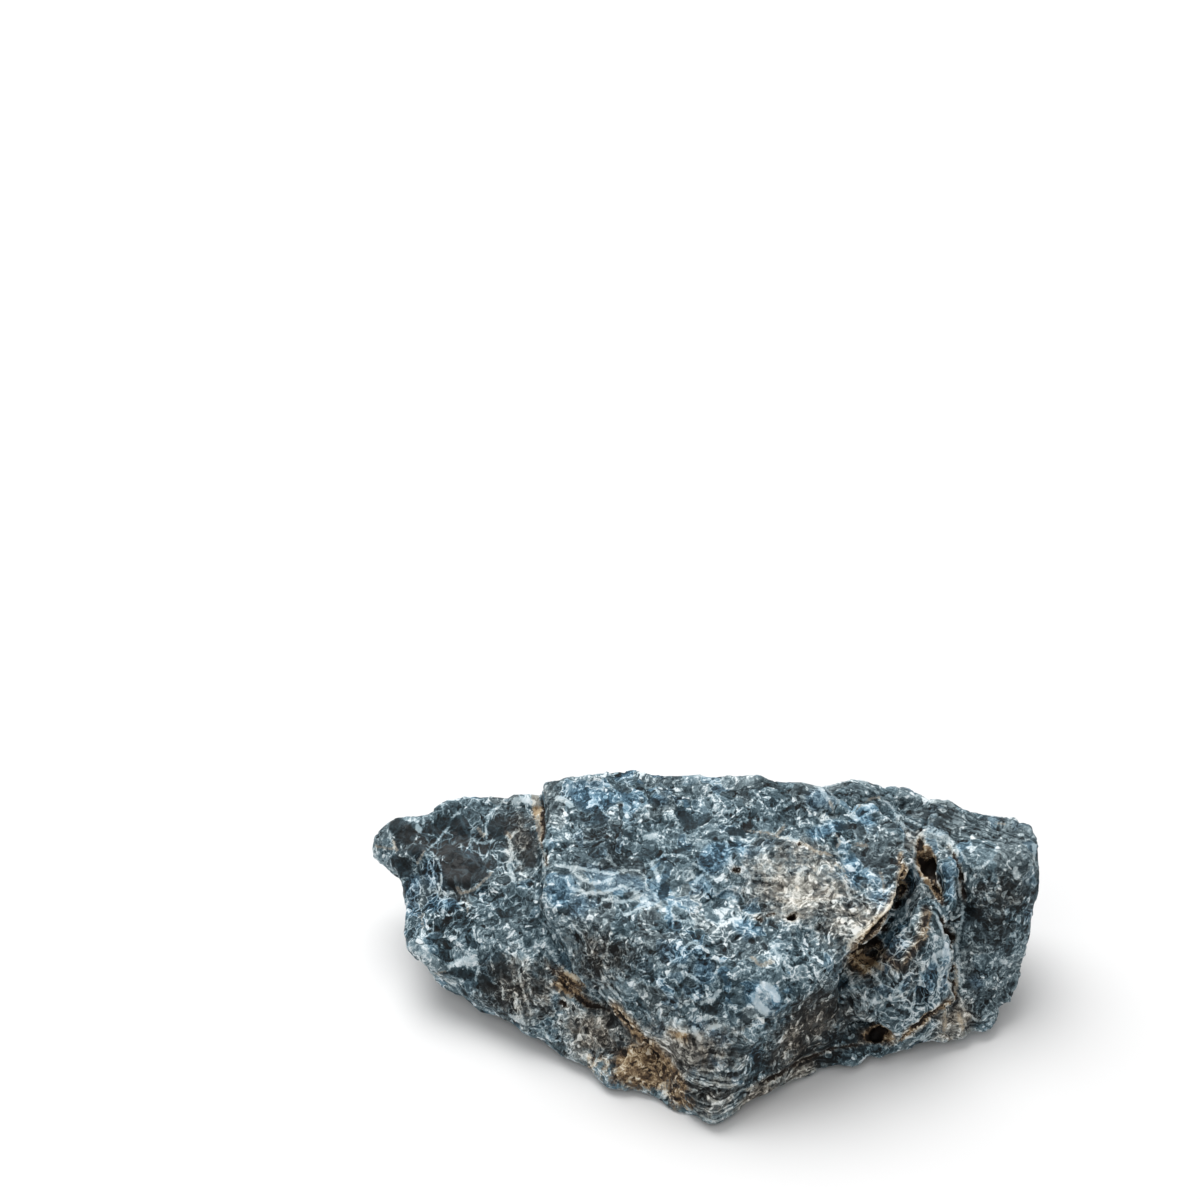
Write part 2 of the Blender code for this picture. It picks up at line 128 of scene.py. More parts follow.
# Veins, spots and single grains by their colour: half the width, then the pixels
marks = {
    "whiteMark": (
        # The wing
        (0.12, (390, 822), (390, 832), (394, 846), (391, 860), (393, 870)),
        (0.13, (410, 811), (412, 819), (419, 825)),
        (0.28, (418, 829), (420, 831)),
        (0.13, (424, 827), (425, 815), (432, 807)),
        (0.13, (420, 842), (425, 853), (431, 866), (434, 876), (428, 889), (430, 893)),
        (0.14, (429, 849), (438, 841), (446, 831), (451, 820), (459, 815)),
        (0.12, (430, 852), (437, 859), (441, 868), (441, 886)),
        (0.14, (431, 890), (441, 893), (453, 893)),
        (0.20, (446, 894), (443, 905), (442, 917)),
        (0.12, (461, 844), (463, 856), (466, 863), (474, 863)),
        (0.22, (464, 871), (467, 871)),
        (0.12, (455, 876), (455, 883)),
        (0.12, (446, 878)),
        (0.14, (457, 814), (464, 824), (467, 834), (476, 842), (487, 844), (498, 838), (508, 836)),
        (0.13, (487, 842), (486, 830), (489, 815), (498, 808)),
        (0.15, (508, 837), (511, 848), (512, 856), (520, 864), (521, 868)),
        (0.20, (512, 858), (508, 866), (512, 875), (514, 882)),
        (0.12, (402, 886), (404, 874), (411, 870)),
        (0.13, (415, 879), (421, 887), (424, 893)),
        (0.14, (418, 899), (420, 901)),
        (0.13, (468, 840), (472, 850), (480, 853), (485, 864), (482, 872)),
        (0.12, (406, 853), (412, 858), (417, 863)),
        (0.13, (520, 847), (527, 851), (531, 858)),
        (0.30, (514, 801), (524, 799), (533, 803)),
        (0.40, (452, 966), (462, 962), (474, 960)),
        (0.12, (454, 979), (460, 977)),
        (0.12, (478, 967), (476, 980)),
        (0.34, (510, 1017), (522, 1023)),
        (0.12, (521, 935), (525, 953)),
        (0.12, (500, 967), (502, 981), (504, 1000)),
        (0.12, (518, 970), (521, 985), (528, 1003), (534, 1025)),
        (0.12, (516, 993), (518, 1008), (523, 1020)),
        (0.12, (540, 1026), (545, 1036), (549, 1040)),
        (0.12, (453, 983), (457, 993)),
        # The arris and the front
        (0.13, (545, 945), (553, 957), (563, 970)),
        (0.24, (566, 972), (574, 977), (582, 980)),
        (0.18, (603, 978), (608, 988), (617, 996)),
        (0.13, (622, 1003)),
        (0.13, (645, 1012), (648, 1016)),
        (0.18, (681, 950), (688, 944), (696, 940), (700, 952)),
        (0.14, (714, 957), (725, 962)),
        (0.18, (678, 965), (686, 967)),
        (0.17, (682, 973), (695, 978)),
        (0.18, (669, 975)),
        (0.24, (702, 1003), (712, 1000), (718, 992)),
        (0.28, (705, 1018), (713, 1015)),
        (0.28, (709, 1028), (718, 1026)),
        (0.25, (694, 1029), (700, 1040)),
        (0.42, (754, 997), (757, 1005), (765, 1012)),
        (0.36, (764, 985), (772, 989), (777, 998)),
        # The ridge and the top
        (0.18, (554, 866), (572, 867), (590, 869), (612, 874)),
        (0.16, (571, 869), (582, 880), (596, 884), (612, 879)),
        (0.15, (612, 874), (625, 869), (640, 871), (648, 880)),
        (0.18, (570, 888), (585, 893), (605, 893), (622, 886), (636, 891)),
        (0.18, (603, 899), (618, 902), (635, 899), (645, 902)),
        (0.24, (636, 893), (645, 898)),
        (0.18, (647, 902), (657, 907), (668, 913)),
        (0.16, (672, 917), (684, 920), (695, 922), (708, 925)),
        (0.18, (625, 915), (640, 908), (650, 905)),
        (0.13, (588, 790), (596, 802), (604, 812), (608, 817)),
        (0.36, (558, 799), (566, 801), (570, 806)),
        (0.32, (646, 838), (654, 836)),
        (0.20, (652, 862), (656, 872), (659, 882)),
        (0.13, (653, 862), (664, 857), (676, 855), (684, 857)),
        (0.14, (598, 783), (610, 786), (617, 791)),
        (0.13, (725, 838), (728, 848)),
        (0.22, (729, 858), (731, 864), (733, 868)),
        (0.18, (690, 870), (696, 881), (702, 876)),
        (0.14, (736, 870), (748, 877), (760, 880), (770, 878), (780, 882)),
        (0.13, (686, 858), (700, 868), (712, 878), (720, 880)),
        (0.13, (819, 826), (826, 824)),
        (0.18, (815, 838)),
        (0.20, (784, 783), (800, 789), (815, 796), (826, 804)),
        (0.40, (850, 817), (856, 821)),
        (0.15, (868, 809), (880, 805), (889, 810), (897, 819), (905, 829), (911, 840)),
        (0.14, (914, 852), (914, 866), (913, 880)),
        (0.14, (842, 876), (847, 887), (851, 899)),
        (0.18, (826, 897), (831, 889)),
        (0.18, (806, 868), (798, 872), (796, 885), (799, 898)),
        (0.30, (783, 838), (793, 842), (800, 845)),
        (0.15, (771, 945), (780, 958), (788, 968)),
        # The lip, the knob and the steep block
        (0.20, (910, 867), (902, 872), (899, 882), (898, 893), (892, 904), (884, 913), (877, 923), (866, 929),
         (855, 936), (850, 943)),
        (0.13, (850, 945), (846, 955), (838, 963), (826, 969), (816, 974)),
        (0.19, (925, 830), (938, 835), (948, 841), (955, 853), (958, 870), (959, 885), (961, 897)),
        (0.14, (900, 818), (915, 822), (935, 829), (950, 838), (960, 850), (966, 860)),
        (0.15, (966, 862), (973, 868), (982, 867), (989, 861)),
        (0.17, (921, 884), (928, 894), (936, 903), (942, 911)),
        (0.22, (938, 917), (942, 928), (946, 940), (949, 952)),
        (0.34, (934, 957), (941, 953), (949, 953)),
        (0.17, (950, 955), (950, 963), (944, 972), (939, 980), (938, 990)),
        (0.15, (935, 958), (939, 968), (941, 975)),
        (0.14, (949, 962), (948, 975), (950, 987), (956, 998)),
        (0.14, (962, 1006), (970, 1014), (978, 1022)),
        (0.15, (924, 962), (921, 975), (920, 990), (917, 1003), (911, 1012)),
        (0.13, (900, 985), (908, 976), (917, 968), (924, 962)),
        (0.13, (911, 1013), (905, 1003), (900, 990)),
        (0.13, (897, 916), (903, 925), (899, 936)),
        (0.13, (905, 905), (911, 915), (908, 930)),
        (0.14, (963, 904), (962, 918), (959, 933), (957, 948), (959, 965), (961, 985), (964, 994)),
        (0.15, (849, 972), (853, 988), (863, 998), (876, 1004), (890, 999), (900, 988), (907, 976)),
        (0.15, (862, 966), (868, 971), (876, 976), (882, 986)),
        (0.13, (896, 1040), (907, 1037), (918, 1038), (926, 1043)),
        (0.17, (921, 1035), (926, 1042)),
        (0.17, (930, 1034)),
        (0.14, (984, 880), (987, 882)),
        (0.22, (1011, 935), (1014, 935)),
        (0.20, (1001, 961), (1006, 963)),
        (0.30, (1015, 870), (1016, 876)),
        (0.28, (1034, 846), (1035, 857)),
        (0.20, (1019, 835), (1022, 836)),
        (0.13, (928, 802), (936, 803)),
    ),
    "tanMark": (
        (0.13, (371, 845), (384, 848), (396, 849)),
        (0.20, (394, 842), (396, 850)),
        (0.15, (417, 863), (422, 856), (424, 851)),
        (0.18, (457, 887), (460, 893)),
        (0.15, (460, 893), (471, 891), (478, 886), (487, 879), (491, 873)),
        (0.12, (466, 900), (468, 911)),
        (0.20, (478, 829), (484, 836)),
        (0.22, (506, 833), (511, 837)),
        (0.17, (418, 914), (424, 916)),
        (0.14, (422, 918), (424, 927)),
        (0.12, (435, 973), (445, 971)),
        (0.38, (535, 795), (539, 815), (540, 838)),
        (0.26, (558, 985), (566, 990), (570, 996)),
        (0.26, (678, 1036), (684, 1036)),
        (0.24, (632, 1033), (638, 1037)),
        (0.14, (745, 829), (757, 832), (767, 833), (778, 837), (788, 840)),
        (0.15, (776, 836), (783, 829), (785, 826)),
        (0.18, (828, 806), (831, 810)),
        (0.14, (860, 810), (868, 806), (878, 804)),
        (0.22, (806, 845), (818, 852), (830, 856)),
        (0.15, (835, 865), (843, 870), (847, 877)),
        (0.14, (833, 835), (840, 842), (836, 848)),
        (0.18, (858, 845), (866, 846)),
        (0.15, (797, 886), (797, 890)),
        (0.13, (880, 870), (884, 882), (884, 890)),
        (0.10, (931, 912), (928, 926), (923, 941)),
        (0.20, (952, 1004), (940, 1009), (928, 1014), (918, 1021), (910, 1031), (902, 1040)),
        (0.20, (955, 965), (957, 985), (957, 1000)),
        (0.20, (947, 1012), (944, 1029)),
        (0.22, (959, 1015), (962, 1029)),
        (0.30, (862, 957), (872, 962), (882, 968)),
        (0.26, (926, 880), (934, 890), (941, 900)),
        (0.30, (903, 872), (902, 888)),
        (0.22, (919, 839), (922, 852)),
        (0.20, (752, 958), (762, 966), (772, 962)),
        (0.14, (1004, 826), (996, 825)),
    ),
    "blackMark": (
        (0.50, (700, 822), (707, 817)),
        (0.48, (730, 831), (742, 832)),
        (0.30, (678, 852), (688, 848)),
        (0.30, (714, 906), (717, 904)),
        (0.20, (727, 920)),
        (0.22, (742, 907)),
        (0.20, (772, 855)),
        (0.18, (781, 855)),
        (0.36, (650, 800), (655, 803)),
        (0.24, (602, 861), (608, 863)),
        (0.32, (624, 832), (633, 838)),
        (0.62, (680, 812), (690, 825)),
        (0.45, (665, 887), (663, 896)),
        (1.20, (455, 872), (466, 876), (474, 870)),
        (0.70, (449, 851), (460, 858), (474, 860)),
        (0.75, (398, 828), (408, 838)),
        (0.50, (413, 851), (420, 849)),
        (0.75, (396, 862), (404, 869)),
        (0.60, (436, 829), (445, 822)),
        (0.80, (460, 824), (462, 836)),
        (0.75, (495, 826), (500, 834)),
        (0.55, (528, 854), (531, 863)),
        (0.60, (484, 980), (488, 988)),
        (0.60, (498, 958), (502, 972)),
        (0.50, (455, 972), (470, 975)),
        (0.42, (722, 975), (727, 981)),
        (0.28, (605, 905), (609, 906)),
        (0.38, (706, 1008), (713, 1012)),
        (0.36, (740, 1015), (748, 1022)),
        (0.26, (773, 1009), (777, 1010)),
        (0.40, (838, 830), (848, 828)),
        (0.20, (853, 838)),
        (0.34, (560, 910), (566, 912)),
    ),
    "blueMark": (
        (0.36, (668, 791)),
        (0.45, (656, 798), (662, 800)),
        (1.10, (580, 793), (592, 803), (604, 800)),
        (0.60, (738, 847), (745, 853)),
        (1.25, (718, 852), (712, 862)),
        (0.45, (697, 889), (705, 886)),
        (1.10, (566, 886), (560, 896)),
        (0.70, (581, 902), (575, 910)),
        (0.55, (635, 880), (641, 887)),
        (0.36, (609, 872), (615, 873)),
        (0.45, (594, 904)),
        (0.70, (815, 834), (826, 830), (836, 827)),
        (0.75, (814, 804), (820, 802)),
        (0.62, (862, 820), (870, 824)),
        (0.85, (852, 862), (851, 880)),
        (0.55, (870, 874), (876, 881)),
        (0.85, (879, 895), (884, 906)),
        (0.85, (741, 926), (748, 930)),
        (0.45, (849, 905), (856, 906)),
        (0.85, (704, 966), (704, 976)),
        (0.85, (668, 952), (681, 955)),
        (0.50, (694, 1025), (706, 1029), (722, 1040)),
        (0.45, (705, 1060), (720, 1064)),
        (0.80, (896, 943), (891, 957)),
        (0.75, (931, 972), (926, 990)),
        (0.50, (945, 974), (944, 985)),
        (0.45, (907, 979), (905, 986)),
        (0.50, (945, 866), (948, 880), (950, 894)),
        (0.80, (430, 868), (431, 880)),
        (0.80, (414, 884), (410, 896)),
        (0.60, (430, 905), (437, 904)),
        (0.60, (446, 902), (453, 904)),
        (0.42, (974, 980), (978, 984)),
        (0.26, (768, 994), (767, 1003)),
        (1.25, (758, 996), (768, 1002)),
    ),
    "brownMark": (
        # The groove above the foot
        (0.36, (560, 972), (572, 988), (586, 1001)),
        (0.80, (616, 1010), (628, 1024), (639, 1040)),
        (0.60, (650, 1046), (663, 1060), (676, 1075), (684, 1086)),
        (0.40, (672, 1034), (684, 1038)),
        # Under the lip, in the pocket and in the holes of the toe
        (0.50, (905, 872), (899, 892), (889, 910), (876, 925), (862, 940), (852, 952)),
        (0.45, (924, 852), (930, 872), (940, 894)),
        (0.60, (864, 1036), (878, 1032), (890, 1038)),
        (0.40, (876, 944), (886, 958), (898, 966)),
        (0.40, (927, 910), (924, 926), (920, 941), (912, 953), (905, 966)),
        (0.35, (950, 1002), (938, 1010), (922, 1022), (908, 1034)),
    ),
}

# Where the rock differs from its general blue-grey: middle, reach and strength of each zone
zones = {
    "pale": (  # whitish net over the grains
        ((-12.2, 0.6, 15.4), (2.6, 2.0, 2.0), 0.8),
        ((-8.0, 0.2, 15.4), (4.0, 1.9, 2.0), 0.9),
        ((-3.0, -1.4, 15.0), (4.0, 2.2, 2.0), 0.85),
        ((1.6, -3.2, 14.8), (3.4, 2.2, 2.0), 0.8),
        ((5.0, 1.6, 16.4), (3.4, 2.0, 2.0), 0.75),
        ((8.6, -1.0, 15.8), (4.2, 3.2, 2.4), 0.8),
        ((12.6, -3.4, 15.0), (3.4, 2.6, 2.4), 0.60),
        ((12.6, 2.6, 16.2), (3.0, 3.0, 2.0), 0.45),
        ((16.0, 8.6, 16.6), (2.0, 2.2, 1.6), 0.7),
        ((5.2, -9.6, 11.6), (1.7, 1.6, 1.9), 1.2),
        ((18.4, -4.0, 9.0), (2.8, 2.6, 4.0), 0.3),
        ((27.0, 8.0, 15.4), (5.0, 4.0, 1.4), 0.4),
        ((6.0, 14.0, 12.0), (5.0, 3.0, 4.0), 0.6),
        ((-8.0, 13.0, 10.0), (4.0, 3.0, 3.0), 0.5),
        ((28.0, 10.0, 7.0), (3.0, 4.0, 4.0), 0.5),
    ),
    "blue": (  # stronger blue grains
        ((-8.5, 10.6, 17.4), (4.6, 2.6, 2.0), 0.8),
        ((-12.6, -0.6, 14.8), (2.4, 1.8, 1.8), 1.0),
        ((-6.0, 2.6, 16.0), (3.4, 1.6, 1.6), 0.3),
        ((-5.0, -0.8, 15.2), (6.0, 2.6, 2.4), 0.7),
        ((0.0, -4.4, 14.0), (4.6, 2.6, 2.6), 0.55),
        ((-2.0, -8.2, 11.6), (4.0, 3.0, 3.0), 0.3),
        ((5.4, -9.8, 11.8), (1.9, 1.8, 2.1), 1.0),
        ((1.4, -12.4, 7.6), (2.8, 2.4, 2.2), 0.5),
        ((15.6, 8.6, 16.8), (2.6, 2.6, 1.8), 0.5),
        ((13.2, 2.0, 16.2), (2.2, 3.0, 1.8), 0.25),
        ((15.6, -1.2, 15.4), (2.0, 2.2, 2.0), 0.35),
        ((16.4, -3.6, 10.8), (1.8, 1.8, 2.2), 0.8),
        ((21.8, 3.0, 14.0), (1.6, 2.4, 1.8), 0.5),
        ((-25.4, 6.0, 8.8), (2.2, 2.4, 2.2), 0.8),
    ),
    "dark": (  # dark close-grained rock; on the steep faces towards the front the darkening is partly painted shade
        ((-9.6, 5.4, 16.6), (5.4, 2.6, 2.0), 0.55),
        ((-5.6, -9.8, 2.6), (3.6, 2.6, 2.2), 0.42),
        ((-10.0, -7.0, 4.4), (4.4, 2.6, 3.0), 0.45),
        ((0.0, -8.6, 10.0), (5.0, 3.0, 3.0), 0.7),
        ((-22.6, 8.4, 11.4), (4.8, 4.0, 2.4), 1.1),
        ((-26.4, 10.8, 10.8), (2.2, 2.6, 2.0), 0.8),
        ((-21.2, 2.4, 8.6), (4.0, 3.0, 3.0), 0.5),
        ((21.6, 3.0, 13.6), (1.8, 2.8, 2.2), 0.5),
        ((-17.6, -2.6, 4.8), (6.4, 3.4, 3.0), 0.8),
        ((-16.6, 8.4, 12.8), (2.0, 4.0, 1.8), 0.9),
        ((-9.4, -5.0, 11.6), (4.2, 2.8, 3.0), 0.85),
        ((-13.6, -3.2, 7.0), (3.0, 2.2, 2.2), 0.6),
        ((-2.0, -9.0, 10.6), (3.6, 2.6, 2.6), 0.35),
        ((10.0, -8.0, 6.4), (5.4, 3.8, 5.2), 1.2),
        ((5.6, -11.0, 5.0), (2.6, 2.0, 3.4), 0.8),
        ((-1.4, -11.4, 5.8), (4.0, 2.0, 2.4), 0.5),
        ((26.4, 1.4, 11.4), (4.2, 3.0, 4.4), 1.1),
        ((26.4, 4.2, 14.4), (3.6, 1.2, 1.2), 0.4),
        ((14.2, -6.6, 2.4), (3.0, 2.0, 1.8), 0.9),
        ((-4.0, -6.0, 5.0), (6.0, 2.6, 2.0), 0.3),
        ((14.0, 14.0, 8.0), (6.0, 3.0, 4.0), 0.7),
        ((-18.0, 14.0, 8.0), (5.0, 3.0, 4.0), 0.7),
    ),
    "warm": (  # grey that leans to tan
        ((8.4, -0.6, 15.8), (5.4, 4.0, 3.0), 0.85),
        ((12.6, -3.4, 15.0), (4.0, 3.2, 2.8), 0.75),
        ((8.4, 3.2, 16.8), (3.4, 1.8, 1.6), 0.5),
        ((-9.4, -5.0, 11.6), (4.2, 2.8, 3.0), 0.6),
        ((-16.6, 8.4, 12.8), (1.8, 4.0, 1.6), 0.75),
        ((-16.4, -3.0, 6.0), (5.0, 3.0, 3.0), 0.7),
        ((4.7, -12.2, 1.8), (3.4, 2.4, 1.6), 1.0),
        ((9.0, -9.4, 1.6), (3.4, 2.4, 1.5), 1.0),
        ((22.6, -4.4, 2.6), (2.4, 2.0, 2.2), 1.0),
        ((14.0, -3.2, 9.6), (2.4, 2.4, 2.0), 0.9),
        ((9.0, -8.6, 6.0), (6.0, 4.0, 4.6), 0.85),
        ((0.6, -13.4, 3.4), (4.0, 3.4, 3.0), 0.6),
        ((17.4, -3.4, 9.0), (3.0, 3.0, 4.6), 0.5),
        ((26.0, 1.8, 12.4), (3.6, 2.6, 3.0), 0.4),
        ((18.6, 6.6, 14.8), (1.6, 3.0, 1.4), 0.6),
        ((-4.6, -9.6, 4.6), (7.0, 3.0, 3.6), 0.9),
        ((-1.6, -11.2, 6.4), (4.6, 2.4, 3.0), 1.0),
        ((-10.0, -7.0, 4.4), (4.6, 2.8, 3.2), 0.8),
        ((0.0, 14.0, 6.0), (8.0, 3.0, 3.0), 0.6),
    ),
    "rust": (  # iron stain
        ((-5.6, -10.0, 2.8), (3.6, 2.6, 2.1), 1.1),
        ((-2.6, -12.2, 1.8), (2.4, 2.2, 1.6), 0.8),
        ((-9.2, -8.2, 2.0), (2.6, 2.0, 1.6), 0.5),
        ((-12.2, -3.2, 6.8), (1.8, 1.5, 1.2), 0.8),
        ((-3.2, -10.2, 7.0), (1.0, 0.8, 0.8), 0.5),
        ((19.9, 5.2, 13.6), (0.9, 2.2, 1.4), 1.2),
        ((14.2, -3.0, 9.2), (1.8, 1.6, 1.4), 0.9),
        ((17.3, 2.6, 15.4), (0.7, 2.0, 1.4), 0.7),
        ((15.6, -5.6, 2.8), (1.6, 1.4, 1.2), 0.7),
        ((-15.2, 11.8, 13.6), (0.8, 1.8, 1.0), 0.6),
        ((4.0, 13.0, 3.0), (4.0, 3.0, 2.0), 0.7),
    ),
    "layered": (  # thin level layers
        ((0.6, -13.8, 3.8), (3.6, 3.4, 4.0), 1.0),
        ((9.0, -8.6, 2.0), (6.0, 3.0, 2.0), 0.9),
        ((-5.0, -8.6, 8.0), (5.0, 3.0, 2.6), 0.35),
        ((-1.0, -11.6, 7.0), (3.0, 2.4, 2.0), 0.4),
        ((27.0, -0.6, 5.0), (4.0, 3.0, 4.0), 0.3),
    ),
    "streaked": (  # fine parallel streaks that run from the back left to the front right
        ((24.0, 8.0, 15.6), (8.0, 5.0, 1.6), 1.0),
        ((14.0, 11.6, 16.6), (7.0, 2.6, 2.0), 1.0),
        ((-6.0, 0.2, 15.2), (6.0, 1.8, 1.6), 0.6),
        ((18.6, 6.6, 14.8), (1.6, 3.0, 1.4), 0.8),
        ((10.0, -6.0, 8.6), (4.0, 2.6, 3.0), 0.4),
    ),
    "flecked": (  # small white crystals
        ((-20.6, 2.6, 8.8), (6.0, 3.6, 3.4), 1.0),
        ((-9.6, 5.4, 16.6), (5.4, 2.8, 2.0), 0.8),
        ((-2.0, -8.6, 11.0), (4.6, 3.0, 3.0), 1.0),
        ((25.0, 1.6, 10.0), (4.4, 3.4, 5.4), 1.0),
        ((-9.4, -5.0, 11.6), (4.2, 2.8, 3.0), 0.4),
        ((9.0, -8.0, 6.4), (5.0, 3.4, 4.6), 1.0),
        ((26.6, 1.6, 12.6), (4.0, 2.6, 3.0), 1.3),
    ),
    "netted": (  # dark panes in a net of pale veins
        ((17.4, -3.2, 10.6), (3.0, 2.6, 3.4), 1.0),
        ((18.8, -5.0, 6.6), (2.6, 2.0, 3.0), 1.0),
        ((-21.6, 8.0, 11.4), (6.0, 4.6, 2.6), 0.8),
        ((-24.6, 5.0, 8.8), (2.6, 2.6, 2.4), 0.8),
        ((14.0, -2.0, 15.0), (3.0, 3.4, 2.0), 0.5),
        ((1.0, -3.4, 14.6), (4.4, 2.4, 2.0), 0.6),
        ((20.8, 3.0, 13.4), (1.8, 3.0, 2.4), 0.7),
    ),
    "smooth": (  # glassy breaks with few grains
        ((-23.0, 8.4, 11.4), (4.4, 3.6, 2.4), 1.0),
        ((-26.4, 10.8, 10.8), (2.2, 2.6, 2.0), 0.8),
        ((18.2, -3.8, 8.8), (2.8, 2.6, 4.0), 0.6),
        ((26.4, 1.6, 12.2), (4.0, 2.6, 3.0), 0.5),
    ),
    "jagged": (  # coarse broken facets
        ((17.6, -3.6, 10.6), (2.4, 2.6, 4.0), 0.9),
        ((19.4, -4.8, 6.6), (2.6, 2.0, 2.6), 0.9),
        ((13.8, -5.0, 7.4), (2.0, 1.8, 2.4), 0.7),
        ((22.4, -4.0, 3.0), (2.6, 2.0, 2.0), 0.8),
    ),
}


def hashCells(cells, seed):
    # A grid cell's three whole numbers are multiplied by large odd numbers and their bits are mixed,
    # which gives each cell its own value between 0 and 1.
    whole = (cells.astype(np.int64) & 0xFFFFFFFF).astype(np.uint32)
    value = whole[:, 0] * np.uint32(0x9E3779B1) ^ whole[:, 1] * np.uint32(0x85EBCA77)
    value ^= whole[:, 2] * np.uint32(0xC2B2AE3D) ^ np.uint32(seed * 0x27D4EB2F & 0xFFFFFFFF)
    for shift, factor in ((15, 0x2C1B3C6D), (12, 0x297A2D39), (15, 1)):
        value = (value ^ (value >> np.uint32(shift))) * np.uint32(factor)
    return value / 0xFFFFFFFF


def smoothNoise(points, width, seed):
    # Noise from -1 to 1: the eight corner values of the grid cell round each point, blended by
    # 6t^5 - 15t^4 + 10t^3 along each axis.
    grid = points / width
    cell = np.floor(grid)
    part = grid - cell
    ease = part ** 3 * (part * (part * 6 - 15) + 10)
    total = np.zeros(len(points))
    for corner in product((0, 1), repeat=3):
        weight = np.prod(np.where(corner, ease, 1 - ease), axis=1)
        total += weight * hashCells(cell + corner, seed)
    return total * 2 - 1


def grainCells(points, width, seed):
    # One random seed point in each grid cell. Gives each point the distances to its nearest and second
    # nearest seed, in grid cells, with the nearest seed's own random number and the way to it.
    grid = points / width
    cell = np.floor(grid)
    nearest = np.full(len(points), 9.0)
    second = nearest.copy()
    number = np.zeros(len(points))
    way = np.zeros(points.shape)
    for step in product((-1, 0, 1), repeat=3):
        home = cell + step
        offset = np.stack([hashCells(home, seed + axis) for axis in range(3)], axis=1)
        offset += home - grid
        away = np.sqrt((offset ** 2).sum(axis=1))
        closer = away < nearest
        second = np.where(closer, nearest, np.minimum(second, away))
        nearest = np.where(closer, away, nearest)
        number = np.where(closer, hashCells(home, seed + 3), number)
        way = np.where(closer[:, None], offset, way)
    return nearest, second, number, way


def chipped(points, width, tall, slant, seed):
    # Broken facets: each cell has its own height and leans its own way, and a seam is cut where two meet.
    nearest, second, own, way = grainCells(points, width, seed)
    lean = np.stack([np.sin(own * turns) for turns in (37.0, 61.0, 89.0)], axis=1)
    facet = tall * (own - 0.5) + slant * width * (way * lean).sum(axis=1) * 0.5
    return facet - skin["seam"] * (1 - (second - nearest) / 0.14).clip(0, 1)


def alongPath(points, path):
    # Distance from each point to the joined-up line of the path, and the share of the line passed there.
    # Points that are further off than the mark reach are left out.
    reach = skin["markReach"] * 2
    best = np.full(len(points), reach)
    share = np.zeros(len(points))
    near = np.all((points > path.min(axis=0) - reach) & (points < path.max(axis=0) + reach), axis=1)
    some = points[near]
    closest = best[near]
    passed = share[near]
    for number, (start, end) in enumerate(zip(path, path[1:])):
        line = end - start
        part = ((some - start) @ line / (line @ line + 1e-9)).clip(0, 1)
        away = np.linalg.norm(some - start - part[:, None] * line, axis=1)
        passed = np.where(away < closest, (number + part) / (len(path) - 1), passed)
        closest = np.minimum(closest, away)
    best[near] = closest
    share[near] = passed
    return best, share


def laidOn(surface, pixels):
    # Where the camera's rays through a line of pixels meet the rock, with a point every few pixels.
    corners = np.array(pixels, float)
    done = np.concatenate([[0.0], np.cumsum(np.linalg.norm(np.diff(corners, axis=0), axis=1))])
    steps = np.linspace(0, done[-1], 2 + int(done[-1] / photo["step"]))
    line = np.stack([np.interp(steps, done, corners[:, axis]) for axis in (0, 1)], axis=1)
    across = (line / photo["pixels"] - 0.5) * photo["sensor"]
    tilt = radians(photo["tilt"])
    rays = across[:, :1] * (1, 0, 0) - across[:, 1:] * (0, cos(tilt), sin(tilt))
    rays = rays + photo["lens"] * np.array((0, sin(tilt), -cos(tilt)))
    hits = [surface.ray_cast(photo["eye"], ray)[0] for ray in rays.tolist()]
    return np.array([tuple(hit) for hit in hits if hit is not None])


def meanOfNeighbours(values, ends, counts):
    # The mean of the values at the other ends of each point's edges.
    total = np.empty(values.shape)
    for axis in range(values.shape[1]):
        column = values[:, axis]
        total[:, axis] = np.bincount(ends[:, 0], column[ends[:, 1]], len(values))
        total[:, axis] += np.bincount(ends[:, 1], column[ends[:, 0]], len(values))
    return total / counts[:, None]


def evenOut(points, ends, counts, rounds):
    # Each round moves every point half way to its neighbours' mean, and then slightly more than half way
    # back out, so that facets go and the size stays.
    for share in (0.5, -0.52) * rounds:
        points = points + share * (meanOfNeighbours(points, ends, counts) - points)
    return points


def skinNormals(mesh, points, ends, counts, rounds):
    # Outward directions at the points, evened out over the given rounds.
    mesh.vertices.foreach_set("co", (points * mm).astype(np.float32).ravel())
    mesh.update()
    normals = np.empty(len(points) * 3, np.float32)
    mesh.vertices.foreach_get("normal", normals)
    normals = normals.reshape(-1, 3).astype(float)
    for _ in range(rounds):
        normals = normals + meanOfNeighbours(normals, ends, counts)
        normals /= np.linalg.norm(normals, axis=1)[:, None]
    return normals


def remeshed(node):
    # A merged copy of the solid, meshed again in even squares.
    mesh = node.data.copy()
    welded = bmesh.new()
    welded.from_mesh(mesh)
    bmesh.ops.remove_doubles(welded, verts=welded.verts, dist=1e-6)
    welded.to_mesh(mesh)
    welded.free()
    stone = bpy.data.objects.new("rough_stone", mesh)
    bpy.context.scene.collection.objects.link(stone)
    step = stone.modifiers.new("even", "REMESH")
    step.mode = "VOXEL"
    step.voxel_size = skin["pitch"] * mm
    evaluated = stone.evaluated_get(bpy.context.evaluated_depsgraph_get())
    even = bpy.data.meshes.new_from_object(evaluated)
    stone.modifiers.clear()
    stone.data = even
    return stone


